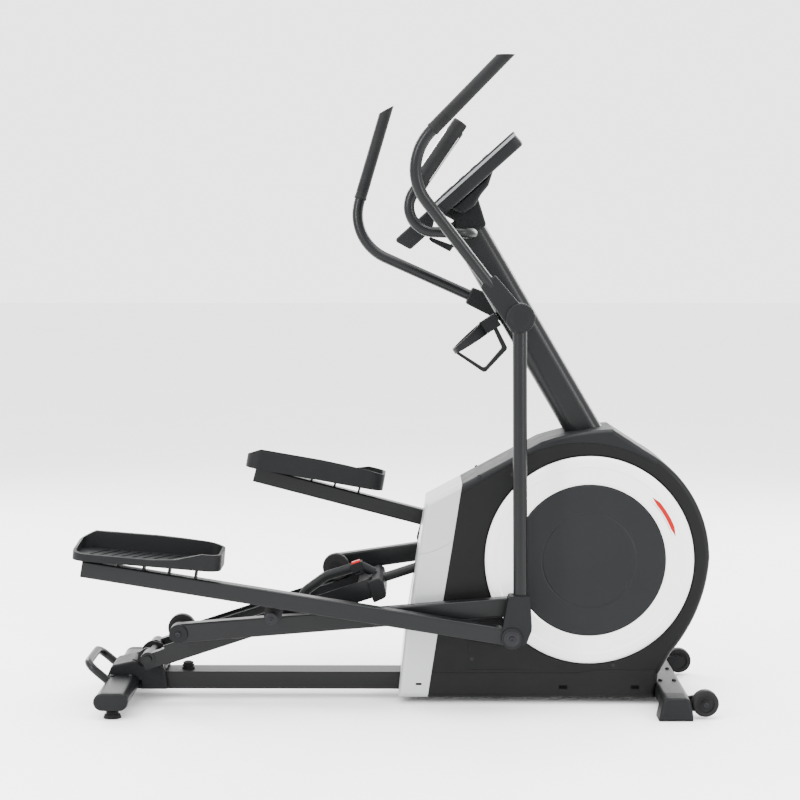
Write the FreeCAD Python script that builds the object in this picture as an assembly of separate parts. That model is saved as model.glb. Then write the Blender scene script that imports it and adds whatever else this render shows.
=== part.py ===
import FreeCAD, Part
import math
import os

V = FreeCAD.Vector

# Elliptical trainer, millimetres. +X is the way the user faces, +Z is up.
# The origin is on the floor, under the middle of the machine.
# The user's right side is -Y. Its arms are built first; the left ones are
# mirrored copies swung to the opposite end of the stride.

# --- overall ---
HEIGHT = 1664.0
TUBE_WALL = 2.5
RUNNING_GAP = 0.05

# --- base ---
RAIL_WIDTH = 80.0
RAIL_LOW = 25.5
RAIL_HIGH = 71.5
RAIL_FRONT = 668.0
REAR_FOOT_X = -721.8
REAR_FOOT_Z = 46.5
REAR_FOOT_DEPTH = 86.0
REAR_FOOT_TALL = 43.0
FOOT_HALF = 272.0
FRONT_FOOT_X = 712.0
FRONT_FOOT_HALF = 228.0
WHEEL_X = 784.5
WHEEL_Z = 40.0
WHEEL_R = 34.0
LEVELLER_Y = 252.0

# --- linkage pivots in the XZ plane, right side, at rest ---
SWING_PIVOT = (311.8, 1016.4)
LEG_LENGTH = 814.5
LEG_ANGLE = -91.23
SWING_RANGE = 28.1
PEDAL_ARM_SLOPE = 9.16
PEDAL_ARM_SLOPE_FAR = 14.6
MID_ALONG = 612.0
MID_DROP = 49.6
RAMP_ANGLE = 18.23
ROLLER_START = (-561.0, 200.2)
ROLLER_ARM_SLOPE = 4.68
ROLLER_ARM_LENGTH = 868.5
MID_FROM_ROLLER = (246.6, 30.4)

# --- drive ---
CRANK = (501.0, 382.5)
DISC_R = 271.0
DISC_CORE_R = 198.0
DISC_IN = 99.0
DISC_OUT = 121.0
AXLE_R = 12.5
PULLEY_R = 160.0
FLYWHEEL = (235.0, 330.0)
FLYWHEEL_R = 125.0
SMALL_PULLEY_R = 22.0
BELT_IN = 62.0
BELT_OUT = 76.0

# --- widths from the middle plane ---
SHROUD_HALF = 108.0
CASING_WALL = 5.0
CASING_ROUND = 14.0
SEAM = 0.6
ROLLER_IN = 78.0
ROLLER_OUT = 102.0
ROLLER_R = 36.0
ROLLER_ARM_IN = 140.0
ROLLER_ARM_OUT = 176.0
ROLLER_ARM_TALL = 49.0
PEDAL_ARM_IN = 196.0
PEDAL_ARM_OUT = 236.0
PEDAL_ARM_TALL = 42.8
LEG_Y = 216.0
LEG_R = 18.0
PEDAL_IN = 104.0
PEDAL_OUT = 270.0
PEDAL_HEEL = -1134.0
PEDAL_GAP = 3.0

# --- mast ---
MAST_LEAN = 30.36
MAST_DEPTH = 93.0
MAST_WIDTH = 62.0


# ---------------------------------------------------------------- helpers
def cosd(a):
    return math.cos(math.radians(a))


def sind(a):
    return math.sin(math.radians(a))


def turn(point, angle):
    """Turn an XZ pair about the origin, from +X towards +Z."""
    x = point[0] * cosd(angle) - point[1] * sind(angle)
    z = point[0] * sind(angle) + point[1] * cosd(angle)
    return (x, z)


def add(a, b):
    return (a[0] + b[0], a[1] + b[1])


def block(x0, x1, y0, y1, z0, z1):
    return Part.makeBox(x1 - x0, y1 - y0, z1 - z0, V(x0, y0, z0))


def rod(centre, radius, y0, y1):
    """Cylinder along Y between two Y values, centred on an XZ pair."""
    low = min(y0, y1)
    base = V(centre[0], low, centre[1])
    return Part.makeCylinder(radius, abs(y1 - y0), base, V(0, 1, 0))


def sleeve(centre, outer, inner, y0, y1):
    return rod(centre, outer, y0, y1).cut(rod(centre, inner, y0, y1))


def corner_arc(before, corner, after, radius):
    """Tangent points and middle of the arc that rounds one corner."""
    a = (before - corner).normalize()
    b = (after - corner).normalize()
    half = a.getAngle(b) / 2.0
    reach = radius / math.tan(half)
    start = corner + a * reach
    end = corner + b * reach
    middle = (a + b).normalize()
    deep = radius / math.sin(half) - radius
    return start, corner + middle * deep, end


def bent_path(points, radii):
    """Open path of straight runs joined by arcs at the inner points."""
    edges = []
    last = points[0]
    for i in range(1, len(points) - 1):
        start, mid, end = corner_arc(points[i - 1], points[i], points[i + 1], radii[i - 1])
        edges.append(Part.makeLine(last, start))
        edges.append(Part.Arc(start, mid, end).toShape())
        last = end
    edges.append(Part.makeLine(last, points[-1]))
    return Part.Wire(edges)


def round_bar(points, radii, radius):
    path = bent_path(points, radii)
    along = (points[1] - points[0]).normalize()
    ring = Part.Wire(Part.makeCircle(radius, points[0], along))
    return path.makePipeShell([ring], True, False)


def round_tube(points, radii, radius, wall):
    outer = round_bar(points, radii, radius)
    inner = round_bar(points, radii, radius - wall)
    return outer.cut(inner)


def outline(points, radii=None):
    """Closed XZ wire at y = 0; each corner may be rounded."""
    count = len(points)
    corners = [V(p[0], 0, p[1]) for p in points]
    edges = []
    spans = []
    for i in range(count):
        radius = radii[i] if radii else 0.0
        before = corners[i - 1]
        after = corners[(i + 1) % count]
        if radius > 0:
            spans.append(corner_arc(before, corners[i], after, radius))
        else:
            spans.append((corners[i], None, corners[i]))
    for i in range(count):
        start, mid, end = spans[i]
        if mid is not None:
            edges.append(Part.Arc(start, mid, end).toShape())
        following = spans[(i + 1) % count][0]
        if (following - end).Length > 1e-6:
            edges.append(Part.makeLine(end, following))
    return Part.Wire(edges)


def slab(wire, y0, y1):
    """Solid between two Y values from an XZ wire."""
    face = Part.Face(wire)
    face.translate(V(0, y0, 0))
    return face.extrude(V(0, y1 - y0, 0))


def plate(points, y0, y1, radii=None):
    return slab(outline(points, radii), y0, y1)


def both(shape):
    """The shape and its mirror image across the middle plane."""
    other = shape.mirror(V(0, 0, 0), V(0, 1, 0))
    return Part.makeCompound([shape, other])


def mirrored(shape):
    return shape.mirror(V(0, 0, 0), V(0, 1, 0))


def swung(shape, pivot, angle):
    """Turn about a Y-wise pivot, from +X towards +Z."""
    moved = shape.copy()
    moved.rotate(V(pivot[0], 0, pivot[1]), V(0, -1, 0), angle)
    return moved


def moved(shape, x, z):
    copy = shape.copy()
    copy.translate(V(x, 0, z))
    return copy


def softened(shape, radius, keep):
    """Round every edge that the test picks."""
    edges = [e for e in shape.Edges if keep(e)]
    return shape.makeFillet(radius, edges)


def flat_oval(centre, depth, tall):
    """Closed XZ wire of a flat-sided oval, longer along X."""
    r = tall / 2.0
    x0 = centre[0] - depth / 2.0 + r
    x1 = centre[0] + depth / 2.0 - r
    z0 = centre[1] - r
    z1 = centre[1] + r
    left = Part.Arc(V(x0, 0, z1), V(x0 - r, 0, centre[1]), V(x0, 0, z0)).toShape()
    right = Part.Arc(V(x1, 0, z0), V(x1 + r, 0, centre[1]), V(x1, 0, z1)).toShape()
    low = Part.makeLine(V(x0, 0, z0), V(x1, 0, z0))
    high = Part.makeLine(V(x1, 0, z1), V(x0, 0, z1))
    return Part.Wire([left, low, right, high])


def on_outer_end(y):
    """Edge test: the edge lies wholly in the plane at this Y."""
    def test(edge):
        box = edge.BoundBox
        return abs(box.YMin - y) < 0.01 and abs(box.YMax - y) < 0.01
    return test


# --------------------------------------------------------- derived pivots
LEG_PIN = add(SWING_PIVOT, turn((LEG_LENGTH, 0), LEG_ANGLE))
LEG_PIN_FAR = add(SWING_PIVOT, turn((LEG_LENGTH, 0), LEG_ANGLE + SWING_RANGE))
MID_LOCAL = (-MID_ALONG, -MID_DROP)
MID_FAR = add(LEG_PIN_FAR, turn(MID_LOCAL, -PEDAL_ARM_SLOPE_FAR))


def roller_travel():
    """Distance up the ramp that brings the roller arm to the far pin."""
    reach = math.hypot(MID_FROM_ROLLER[0], MID_FROM_ROLLER[1])
    dx = MID_FAR[0] - ROLLER_START[0]
    dz = MID_FAR[1] - ROLLER_START[1]
    along = dx * cosd(RAMP_ANGLE) + dz * sind(RAMP_ANGLE)
    return along - math.sqrt(along ** 2 - dx ** 2 - dz ** 2 + reach ** 2)


TRAVEL = roller_travel()
ROLLER_FAR = add(ROLLER_START, turn((TRAVEL, 0), RAMP_ANGLE))


def far_roller_slope():
    rise = math.atan2(MID_FAR[1] - ROLLER_FAR[1], MID_FAR[0] - ROLLER_FAR[0])
    own = math.atan2(MID_FROM_ROLLER[1], MID_FROM_ROLLER[0])
    return math.degrees(rise - own)


ROLLER_ARM_SLOPE_FAR = far_roller_slope()


# ------------------------------------------------------------------- base
def rear_stabilizer():
    wall = 3.0
    centre = (REAR_FOOT_X, REAR_FOOT_Z)
    outer = slab(flat_oval(centre, REAR_FOOT_DEPTH, REAR_FOOT_TALL), -FOOT_HALF, FOOT_HALF)
    size = 2 * wall
    hollow = flat_oval(centre, REAR_FOOT_DEPTH - size, REAR_FOOT_TALL - size)
    tube = outer.cut(slab(hollow, -FOOT_HALF, FOOT_HALF))
    for side in (-1, 1):
        bore = Part.makeCylinder(6.0, 30, V(REAR_FOOT_X, side * LEVELLER_Y, 20))
        tube = tube.cut(bore)
    return tube


def rear_end_caps():
    centre = (REAR_FOOT_X, REAR_FOOT_Z)
    cap = slab(flat_oval(centre, REAR_FOOT_DEPTH + 2, REAR_FOOT_TALL + 2), FOOT_HALF, 289)
    cap = softened(cap, 6.0, on_outer_end(289))
    return both(cap)


def main_rail():
    """Box rail with the two ears and the pin that carry the ramp."""
    half = RAIL_WIDTH / 2.0
    outer = block(-700, RAIL_FRONT, -half, half, RAIL_LOW, RAIL_HIGH)
    inner = block(-700, RAIL_FRONT, -half + 3, half - 3, RAIL_LOW + 3, RAIL_HIGH - 3)
    centre = (REAR_FOOT_X, REAR_FOOT_Z)
    foot = slab(flat_oval(centre, REAR_FOOT_DEPTH, REAR_FOOT_TALL), -60, 60)
    rail = outer.cut(inner).cut(foot)
    rail = rail.cut(block(-760, REAR_FOOT_X, -half, half, 20, 80))
    ear = plate([(-690, 71.5), (-612, 71.5), (-628, 130), (-662, 138), (-682, 124)],
                42, 48, [0, 0, 18, 18, 12])
    foot_pad = block(-690, -612, 36, 48, 71.5, 76.5)
    ear = ear.fuse(foot_pad)
    rail = rail.fuse([ear, mirrored(ear), rod(RAMP_HINGE, 10, -116, 116)])
    return rail.removeSplitter()


RAMP_HINGE = (-650.0, 118.0)


def rear_handle():
    """Carry loop standing off the rear foot."""
    low = V(-750, -98, 54)
    high = V(-810, -98, 105)
    other = V(-810, 98, 105)
    end = V(-750, 98, 54)
    bar = round_bar([low, high, other, end], [30, 30], 10.5)
    bar = bar.cut(round_bar([low, high, other, end], [30, 30], 8.3))
    centre = (REAR_FOOT_X, REAR_FOOT_Z)
    foot = slab(flat_oval(centre, REAR_FOOT_DEPTH, REAR_FOOT_TALL), -150, 150)
    return bar.cut(foot)


def hinge_cover():
    """Moulded saddle over the rail end and the rear foot."""
    points = [(-770, 50), (-752, 92), (-694, 104), (-668, 88), (-640, 98), (-612, 84), (-604, 28),
              (-676, 28), (-676, 50)]
    radii = [6, 14, 14, 16, 14, 14, 4, 0, 0]
    skin = plate(points, -60, 60, radii)
    skin = softened(skin, 5.0, on_outer_end(-60))
    skin = softened(skin, 5.0, on_outer_end(60))
    centre = (REAR_FOOT_X, REAR_FOOT_Z)
    foot = slab(flat_oval(centre, REAR_FOOT_DEPTH, REAR_FOOT_TALL), -70, 70)
    tunnel = block(-702, -590, -41, 41, 0, 76.5)
    gap = block(-700, -600, -50.5, -37, 60, 150)
    ears = gap.fuse(mirrored(gap))
    hub = sleeve(RAMP_HINGE, 24, 0.5, -70, 70).fuse(rod(RAMP_HINGE, 2, -70, 70))
    return skin.cut(foot).cut(tunnel).cut(ears).cut(hub)


def front_stabilizer():
    x0 = FRONT_FOOT_X - 36
    x1 = FRONT_FOOT_X + 36
    outer = block(x0, x1, -FRONT_FOOT_HALF, FRONT_FOOT_HALF, 12, 56)
    outer = softened(outer, 12.0, lambda e: e.BoundBox.YLength > 400)
    inner = block(x0 + 3, x1 - 3, -FRONT_FOOT_HALF - 1, FRONT_FOOT_HALF + 1, 15, 53)
    inner = softened(inner, 9.0, lambda e: e.BoundBox.YLength > 400)
    neck = block(RAIL_FRONT, x0 + 3, -38, 38, 26, 43)
    return outer.cut(inner).fuse(neck).removeSplitter()


def front_boots():
    """Moulded feet at the front, each with the arm that holds a wheel."""
    y0 = FRONT_FOOT_HALF
    y1 = 291.0
    points = [(663, 0), (752, 0), (750, 22), (742, 60), (676, 60)]
    boot = plate(points, y0, y1, [3, 3, 6, 14, 14])
    boot = softened(boot, 8.0, on_outer_end(y1))
    plug = block(684, 740, y0 - 20, y0, 18, 50)
    arm = plate([(738, 10), (792, 24), (799, 48), (776, 58), (738, 52)],
                y0 + 1, y0 + 11, [4, 14, 12, 12, 4])
    pin = rod((WHEEL_X, WHEEL_Z), 6.0, y0 + 5, y0 + 45)
    head = rod((WHEEL_X, WHEEL_Z), 10.0, y0 + 41, y0 + 45)
    return both(boot.fuse([plug, arm, pin, head]).removeSplitter())


def transport_wheel():
    y0 = FRONT_FOOT_HALF + 12.5
    y1 = FRONT_FOOT_HALF + 39.5
    centre = (WHEEL_X, WHEEL_Z)
    tyre = rod(centre, WHEEL_R, y0, y1)
    tyre = softened(tyre, 5.0, lambda e: e.Length > 200)
    tyre = tyre.cut(rod(centre, 23, y1 - 4, y1)).cut(rod(centre, 23, y0, y0 + 4))
    hub = rod(centre, 12, y0, y1 - 1)
    return tyre.fuse(hub).cut(rod(centre, 6 + RUNNING_GAP, y0, y1)).removeSplitter()


def levelling_foot():
    """Screw with a flat rubber pad, turned to level the machine."""
    base = V(REAR_FOOT_X, LEVELLER_Y, 0)
    pad = Part.makeCone(23, 20, 9, base)
    knob = Part.makeCylinder(16, 8, base + V(0, 0, 9))
    screw = Part.makeCylinder(5.9, 29, base + V(0, 0, 17))
    return pad.fuse([knob, screw])


# ------------------------------------------------------------ inner frame
def drive_plate():
    """One cheek of the welded frame inside the casing."""
    points = [(590, 71.5), (668, 71.5), (616, 560), (560, 650), (500, 650), (548, 540), (560, 430),
              (480, 420), (462, 380), (484, 345), (570, 335)]
    return plate(points, 32, 36, [0, 0, 30, 10, 10, 30, 20, 20, 20, 20, 20])


def flywheel_cheek():
    points = [(180, 76), (290, 76), (252, 345), (218, 345)]
    cheek = plate(points, 84, 88, [4, 4, 14, 14])
    foot = block(180, 290, 20, 88, 71.5, 76)
    return cheek.cut(rod(FLYWHEEL, 9 + RUNNING_GAP, 80, 90)).fuse(foot).removeSplitter()


def drive_frame():
    housing = sleeve(CRANK, 26, AXLE_R + RUNNING_GAP, -40, 40)
    cheek = drive_plate().cut(rod(CRANK, 25, 0, 60))
    tie = block(575, 640, -36, 36, 71.5, 78)
    web = block(590, 596, -32, 32, 200, 320)
    frame = housing.fuse([cheek, mirrored(cheek), tie, web])
    return Part.makeCompound([frame.removeSplitter(), flywheel_cheek(), mirrored(flywheel_cheek())])


def mast_frame(along, across):
    """XZ pair at a distance along the mast from the swing pivot."""
    up = turn((along, 0), 90 + MAST_LEAN)
    side = turn((across, 0), MAST_LEAN)
    return add(SWING_PIVOT, add(up, side))


def mast_bar(low, high, depth, width):
    r = width / 2.0
    flat = depth / 2.0 - r
    edges = []
    edges.append(Part.makeLine(V(-flat, -r, 0), V(flat, -r, 0)))
    edges.append(Part.Arc(V(flat, -r, 0), V(flat + r, 0, 0), V(flat, r, 0)).toShape())
    edges.append(Part.makeLine(V(flat, r, 0), V(-flat, r, 0)))
    edges.append(Part.Arc(V(-flat, r, 0), V(-flat - r, 0, 0), V(-flat, -r, 0)).toShape())
    bar = Part.Face(Part.Wire(edges)).extrude(V(0, 0, high - low))
    bar.translate(V(0, 0, low))
    bar.rotate(V(0, 0, 0), V(0, -1, 0), MAST_LEAN)
    bar.translate(V(SWING_PIVOT[0] + 2, 0, SWING_PIVOT[1] + 1))
    return bar


def mast():
    outer = mast_bar(-432, 292, MAST_DEPTH, MAST_WIDTH)
    inner = mast_bar(-432, 292, MAST_DEPTH - 6, MAST_WIDTH - 6)
    return outer.cut(inner).cut(rod(SWING_PIVOT, 24, -50, 50))


def swing_axle():
    """Cross tube through the mast, stepped down to the two spindles."""
    middle = rod(SWING_PIVOT, 24, -190, 190)
    spindle = rod(SWING_PIVOT, 16, -241, 241)
    bore = rod(SWING_PIVOT, 11, -241, 241)
    return middle.fuse(spindle).cut(bore)


# ----------------------------------------------------------------- casing
def casing_outline(shrink):
    """Side view of the whole casing; shrink moves the wall inwards."""
    k = shrink
    start = V(4 + k, 0, 17 + k)
    rear_low = V(22 + k, 0, 191)
    rear_mid = V(49 + k, 0, 352)
    rear_top = V(77 + k, 0, 530 - 0.6 * k)
    crest_back = V(374, 0, 689 - k)
    crest_mid = V(500, 0, 718 - k)
    crest = V(562 - 0.5 * k, 0, 723 - k)
    shoulder = V(646 - 0.8 * k, 0, 668 - 0.8 * k)
    nose = V(815 - k, 0, 385)
    chin = V(718 - 0.9 * k, 0, 138 + 0.3 * k)
    toe = V(684 - k, 0, 80)
    end = V(677 - k, 0, 17 + k)
    arc_top = V(771 - 0.8 * k, 0, 546 - 0.6 * k)
    arc_low = V(785 - 0.9 * k, 0, 251 + 0.3 * k)
    edges = []
    edges.append(Part.makeLine(start, rear_low))
    edges.append(Part.Arc(rear_low, rear_mid, rear_top).toShape())
    edges.append(Part.makeLine(rear_top, crest_back))
    edges.append(Part.Arc(crest_back, crest_mid, crest).toShape())
    edges.append(Part.makeLine(crest, shoulder))
    edges.append(Part.Arc(shoulder, arc_top, nose).toShape())
    edges.append(Part.Arc(nose, arc_low, chin).toShape())
    edges.append(Part.makeLine(chin, toe))
    edges.append(Part.makeLine(toe, end))
    edges.append(Part.makeLine(end, start))
    return Part.Wire(edges)


def casing_body():
    """Outer form of the casing with the round recesses for the crank discs."""
    outer = slab(casing_outline(0), -SHROUD_HALF, SHROUD_HALF)
    outer = softened(outer, CASING_ROUND, on_outer_end(SHROUD_HALF))
    outer = softened(outer, CASING_ROUND, on_outer_end(-SHROUD_HALF))
    recess = rod(CRANK, DISC_R + 4, 96, 112)
    hub_hole = rod(CRANK, 34, -120, 120)
    return outer.cut(recess).cut(mirrored(recess)).cut(hub_hole)


def casing_hollow():
    """Room inside the casing, kept clear of the disc recesses."""
    half = SHROUD_HALF - CASING_WALL
    inner = slab(casing_outline(CASING_WALL), -half, half)
    dish = rod(CRANK, DISC_R + 7, 93, SHROUD_HALF)
    inner = inner.cut(dish).cut(mirrored(dish))
    floor = block(10, 671, -90, 90, 0, 40)
    return inner.fuse(floor)


def top_region():
    """Everything above the seam under the charcoal top cover."""
    seam_a = V(150, 0, 548)
    seam_b = V(300, 0, 636)
    seam_mid = V(500, 0, 688)
    seam_c = V(672, 0, 632)
    edges = []
    edges.append(Part.makeLine(seam_a, seam_b))
    edges.append(Part.Arc(seam_b, seam_mid, seam_c).toShape())
    edges.append(Part.makeLine(seam_c, V(700, 0, 800)))
    edges.append(Part.makeLine(V(700, 0, 800), V(150, 0, 800)))
    edges.append(Part.makeLine(V(150, 0, 800), seam_a))
    return slab(Part.Wire(edges), -200, 200)


def rear_region():
    points = [(-50, 0), (78, 0), (106, 180), (146, 425), (172, 592), (172, 800), (-50, 800)]
    return plate(points, -200, 200)


def low_region():
    points = [(78, -10), (760, -10), (700, 92), (520, 92), (470, 84), (94, 84)]
    return plate(points, -200, 200, [0, 0, 0, 30, 30, 0])


def casing_piece(body, hollow, region):
    """Wall of the casing that lies inside a region."""
    return body.common(region).cut(hollow)


def below_wave():
    """Everything under the wavy seam that crosses the rear panel."""
    points = [(-60, 380), (53, 395), (74, 399), (95, 404), (116, 413), (131, 421), (148, 433), (200, 446),
              (200, -20), (-60, -20)]
    return plate(points, -200, 200)


def rear_panel(body, hollow):
    part = casing_piece(body, hollow, rear_region())
    part = part.cut(block(-40, 160, -18, 18, 205, 382))
    return part.cut(block(-20, 60, -41, 41, 10, 73))


def rear_panel_top(body, hollow):
    return rear_panel(body, hollow).cut(moved(below_wave(), 0, SEAM))


def rear_panel_low(body, hollow):
    part = rear_panel(body, hollow).common(below_wave())
    slot = plate([(50, 51), (66, 51), (66, 57), (50, 57)], -150, 150, [2, 2, 2, 2])
    return part.cut(slot)


def top_cover(body, hollow):
    part = casing_piece(body, hollow, top_region())
    part = part.cut(moved(rear_region(), SEAM, 0))
    return part.cut(mast_bar(-440, 0, MAST_DEPTH + 3, MAST_WIDTH + 3))


def base_cover(body, hollow):
    part = casing_piece(body, hollow, low_region())
    part = part.cut(moved(rear_region(), SEAM, 0))
    for x in (424, 612):
        part = part.cut(block(x, x + 22, -150, 150, 41, 51))
    part = part.cut(block(640, 720, -42, 42, 10, 75))
    part = part.cut(block(FRONT_FOOT_X - 36.3, 720, -150, 150, 0, 56.3))
    part = part.cut(block(660, 679.7, 52.7, 83.3, 59.7, 90.3))
    return part.cut(block(679.7, 720, 49.7, 86.3, 57.7, 92.3))


def shroud_half(body, hollow):
    """Right-hand side shell, between the panel, the top and the base."""
    side = block(-100, 1000, -300, -0.3, -50, 900)
    part = body.common(side).cut(hollow)
    part = part.cut(moved(rear_region(), SEAM, 0))
    part = part.cut(moved(top_region(), 0, -SEAM))
    part = part.cut(moved(low_region(), 0, SEAM))
    hatch = outline([(186, 92), (330, 92), (318, 148), (186, 172)], [4, 10, 14, 4])
    groove = slab(hatch, -112, -107)
    core = slab(hatch, -112, -107).common(outer_hatch())
    return part.cut(groove.cut(core))


def outer_hatch():
    return plate([(188, 94), (328, 94), (316, 146), (188, 170)], -120, -100, [4, 10, 14, 4])


def power_inlet():
    """Appliance inlet socket low on the front of the casing."""
    body = block(660, 684, 53, 83, 60, 90)
    rim = block(680, 686, 50, 86, 58, 92)
    well = block(668, 700, 58, 78, 66, 82)
    pins = [block(668, 682, y, y + 2, 71, 77) for y in (61, 67, 73)]
    return body.fuse(rim).cut(well).fuse(pins).removeSplitter()


# ------------------------------------------------------------ crank train
def disc_profile(points):
    """Turned solid about the crank axis; points are (radius, y)."""
    wire = Part.makePolygon([V(CRANK[0] + r, y, CRANK[1]) for r, y in points + points[:1]])
    face = Part.Face(wire)
    return face.revolve(V(CRANK[0], 0, CRANK[1]), V(0, 1, 0), 360)


def disc_ring():
    r0 = DISC_CORE_R + 0.4
    pts = [(r0, DISC_IN), (DISC_R - 6, DISC_IN), (DISC_R, DISC_IN + 6), (DISC_R, DISC_OUT - 7),
           (DISC_R - 5, DISC_OUT - 2), (DISC_R - 12, DISC_OUT), (DISC_R - 26, DISC_OUT + 1),
           (DISC_R - 30, DISC_OUT - 1), (r0 + 6, DISC_OUT - 1), (r0, DISC_OUT - 4)]
    return disc_profile(pts)


def disc_core():
    r1 = DISC_CORE_R
    pts = [(14, DISC_IN), (r1, DISC_IN), (r1, DISC_OUT - 5), (r1 - 4, DISC_OUT - 2),
           (126, DISC_OUT), (123, DISC_OUT - 1), (120, DISC_OUT), (34, DISC_OUT + 1),
           (0.01, DISC_OUT + 1), (0.01, DISC_OUT - 6), (14, DISC_OUT - 6)]
    return disc_profile(pts)


def crank_axle():
    shaft = rod(CRANK, AXLE_R, -112, 112)
    collar = sleeve(CRANK, 18, AXLE_R - 1, 44, 60)
    return shaft.fuse([collar, mirrored(collar)])


def drive_pulley():
    wheel = rod(CRANK, PULLEY_R, BELT_IN, BELT_OUT)
    dish = sleeve(CRANK, PULLEY_R - 16, 40, BELT_IN + 4, BELT_OUT + 1)
    wheel = wheel.cut(dish)
    for k in range(6):
        spot = add(CRANK, turn((92, 0), 60 * k))
        wheel = wheel.cut(rod(spot, 26, BELT_IN - 1, BELT_OUT))
    return wheel.cut(rod(CRANK, AXLE_R, 0, 100))


def flywheel():
    rim = rod(FLYWHEEL, FLYWHEEL_R, -65, -32)
    rim = rim.cut(sleeve(FLYWHEEL, FLYWHEEL_R - 22, 30, -65, -54))
    rim = rim.cut(sleeve(FLYWHEEL, FLYWHEEL_R - 22, 30, -43, -32))
    shaft = rod(FLYWHEEL, 9, -92, 92)
    small = rod(FLYWHEEL, SMALL_PULLEY_R, BELT_IN, BELT_OUT)
    return rim.fuse([shaft, small]).removeSplitter()


def belt_loop(grow):
    """Outline of an open belt round the two pulleys."""
    r1 = PULLEY_R + grow
    r2 = SMALL_PULLEY_R + grow
    dx = FLYWHEEL[0] - CRANK[0]
    dz = FLYWHEEL[1] - CRANK[1]
    span = math.hypot(dx, dz)
    heading = math.degrees(math.atan2(dz, dx))
    half = math.degrees(math.acos((r1 - r2) / span))
    a1 = add(CRANK, turn((r1, 0), heading + half))
    a2 = add(FLYWHEEL, turn((r2, 0), heading + half))
    b1 = add(CRANK, turn((r1, 0), heading - half))
    b2 = add(FLYWHEEL, turn((r2, 0), heading - half))
    back = add(CRANK, turn((r1, 0), heading + 180))
    tip = add(FLYWHEEL, turn((r2, 0), heading))
    spot = [V(p[0], 0, p[1]) for p in (a1, a2, b1, b2, back, tip)]
    edges = [Part.makeLine(spot[0], spot[1])]
    edges.append(Part.Arc(spot[1], spot[5], spot[3]).toShape())
    edges.append(Part.makeLine(spot[3], spot[2]))
    edges.append(Part.Arc(spot[2], spot[4], spot[0]).toShape())
    return Part.Wire(edges)


def drive_belt():
    outer = slab(belt_loop(3.4), BELT_IN + 1, BELT_OUT - 1)
    return outer.cut(slab(belt_loop(0.4), BELT_IN, BELT_OUT))


# ------------------------------------------------------------------- ramp
def ramp_place(shape):
    """From ramp coordinates (x along, z square to it) to the machine."""
    turned = swung(shape, (0, 0), RAMP_ANGLE)
    return moved(turned, ROLLER_START[0], ROLLER_START[1])


def ramp_rails():
    track = -(ROLLER_R + 0.4)
    rail = block(-70, 512, 76, 107, -79, track)
    rail = rail.cut(block(-67, 509, 79, 104, -76, track - 3))
    rail = softened(rail, 3.0, lambda e: e.BoundBox.XLength > 570 and e.BoundBox.ZMin < -78)
    cross = [block(60, 100, -76, 76, -72, -52), block(285, 330, -76, 76, -72, -45),
             block(470, 512, -76, 76, -76, -40)]
    spine = round_tube([V(512, 0, -54), V(672, 0, -54)], [], 12.5, 2.5)
    rails = rail.fuse([mirrored(rail), spine] + cross)
    return ramp_place(rails.removeSplitter())


def ramp_feet():
    """Lower ends of the two rails, each with its hinge hub."""
    hub = ramp_hinge_local()
    tail = block(-126, -70, 76, 104, -76, -38)
    foot = tail.fuse(rod(hub, 19, 52, 107)).cut(rod(hub, 10 + RUNNING_GAP, 40, 120))
    return ramp_place(both(foot))


def ramp_lips():
    """Guide strips on the outer edge of the two tracks."""
    lip = block(-60, 505, 103.6, 107, -(ROLLER_R + 0.4), -28)
    return ramp_place(both(lip))


def ramp_hinge_local():
    dx = RAMP_HINGE[0] - ROLLER_START[0]
    dz = RAMP_HINGE[1] - ROLLER_START[1]
    return turn((dx, dz), -RAMP_ANGLE)


def ramp_collar():
    """Moulded cap over the raised end of the ramp."""
    cap = plate([(498, -92), (536, -88), (540, -46), (530, -33), (498, -33)],
                -113, 113, [4, 12, 10, 8, 4])
    cap = softened(cap, 4.0, on_outer_end(113))
    cap = softened(cap, 4.0, on_outer_end(-113))
    pocket = block(490, 512.5, -107.5, 107.5, -79.5, -27)
    pocket = pocket.fuse(block(505, 560, -13, 13, -67, -41))
    return ramp_place(cap.cut(pocket))


def ramp_hoop():
    """Hand loop on top of the ramp, with a seat for the release button."""
    pts = [V(306, 0, -44), V(330, 0, -22), V(392, 0, -2), V(488, 0, -4), V(517, 0, -34)]
    bar = round_bar(pts, [30, 60, 20], 13)
    bar = bar.fuse(block(462, 496, -15, 15, -14, 7))
    bar = bar.cut(block(466.5, 491.5, -10.5, 10.5, -4, 20))
    bar = bar.cut(block(280, 331, -80, 80, -90, -45)).cut(block(498, 560, -20, 20, -90, -33))
    return ramp_place(bar)


def ramp_latch():
    key = block(467, 491, -10, 10, -0.4, 12)
    key = softened(key, 3.0, lambda e: e.BoundBox.ZMin > 11.9)
    return ramp_place(key)


# ------------------------------------------------- arms, built for y < 0
def leg_ends():
    top = V(SWING_PIVOT[0], -LEG_Y, SWING_PIVOT[1] - 20)
    return [top, V(SWING_PIVOT[0] + 4.4, -LEG_Y, LEG_PIN[1] + 98)]


def leg():
    """Long swing tube from the hub down to the lower bracket."""
    tube = round_tube(leg_ends(), [], LEG_R, TUBE_WALL)
    hub = sleeve(SWING_PIVOT, 28, 16 + RUNNING_GAP, -194, -238)
    tube = tube.cut(rod(SWING_PIVOT, 27.9, -194, -238))
    return tube.fuse(hub)


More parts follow.
